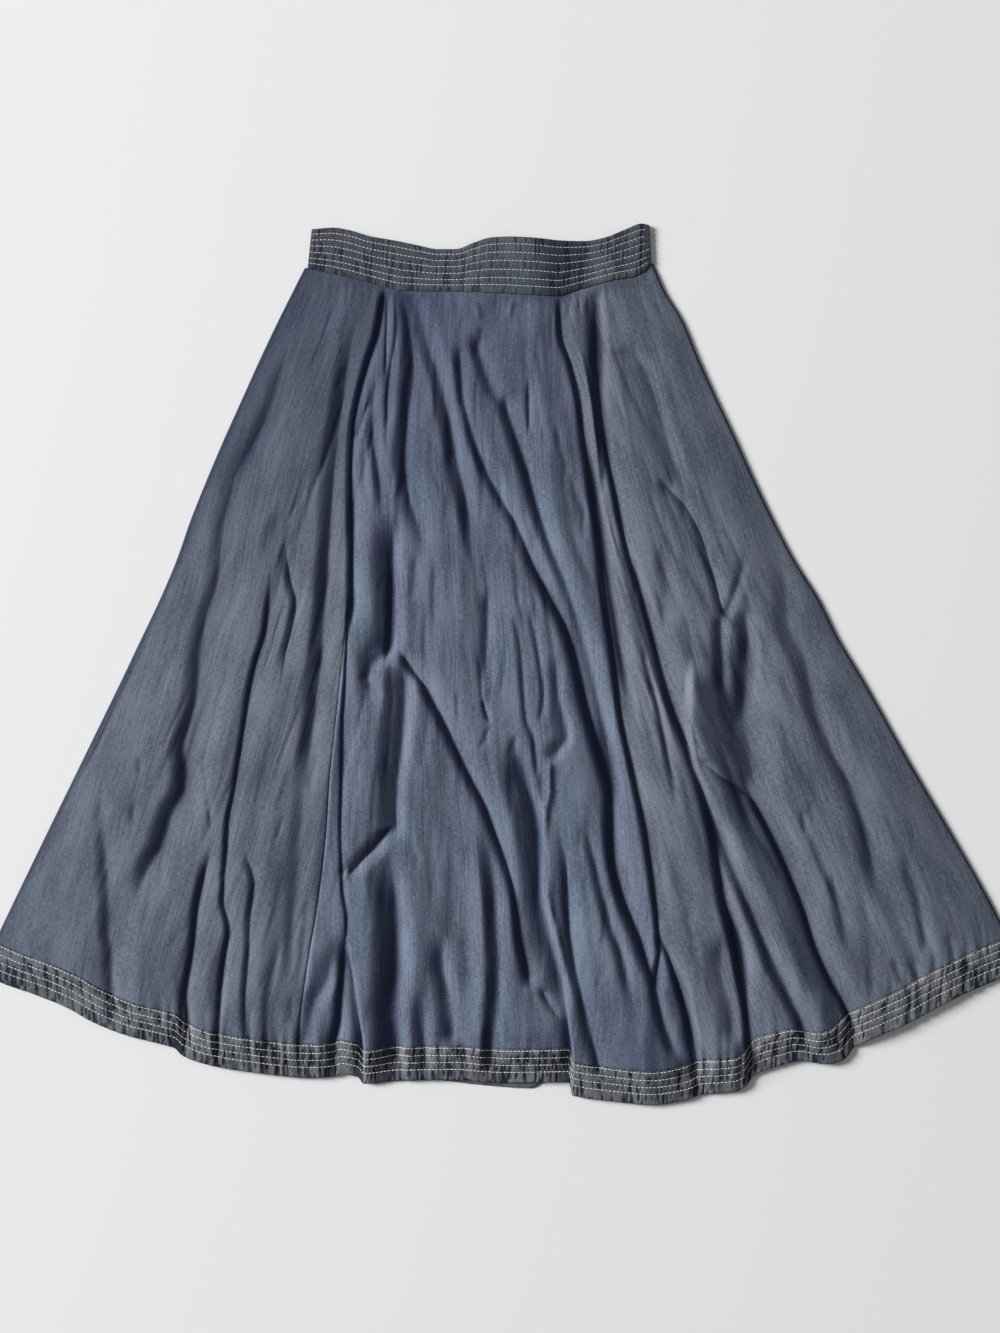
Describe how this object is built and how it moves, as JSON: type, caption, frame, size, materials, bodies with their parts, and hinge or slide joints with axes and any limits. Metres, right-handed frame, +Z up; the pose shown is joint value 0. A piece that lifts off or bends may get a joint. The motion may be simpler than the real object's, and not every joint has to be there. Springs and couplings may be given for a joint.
{
  "type": "denim maxi skirt",
  "caption": "Long flared denim skirt laid flat, with a wide stitched waistband, soft front pleats and a narrow stitched hem strip.",
  "frame": {"origin": "on the surface that the skirt lies on, under the middle of its outline", "axes": "+X across the skirt to the viewer's right, +Y from the hem to the waist, +Z up off the surface through the front"},
  "size_m": [1.0396, 0.8792, 0.0197],
  "materials": {
    "front_left_panel": "soft two-tone denim weave, mid grey-blue",
    "front_centre_panel": "soft two-tone denim weave, mid grey-blue",
    "front_right_panel": "soft two-tone denim weave, mid grey-blue",
    "back_left_panel": "soft two-tone denim weave, mid grey-blue",
    "back_centre_panel": "soft two-tone denim weave, mid grey-blue",
    "back_right_panel": "soft two-tone denim weave, mid grey-blue",
    "waistband_front": "stitched denim weave, darker grey-blue",
    "waistband_back": "stitched denim weave, darker grey-blue",
    "hem_band_front": "stitched denim weave, darker grey-blue",
    "hem_band_back": "stitched denim weave, darker grey-blue"
  },
  "bodies": {
    "root": {"front_left_panel": "front_left_panel", "front_centre_panel": "front_centre_panel", "front_right_panel": "front_right_panel", "back_left_panel": "back_left_panel", "back_centre_panel": "back_centre_panel", "back_right_panel": "back_right_panel", "waistband_front": "waistband_front", "waistband_back": "waistband_back", "hem_band_front": "hem_band_front", "hem_band_back": "hem_band_back"}
  },
  "joints": []
}
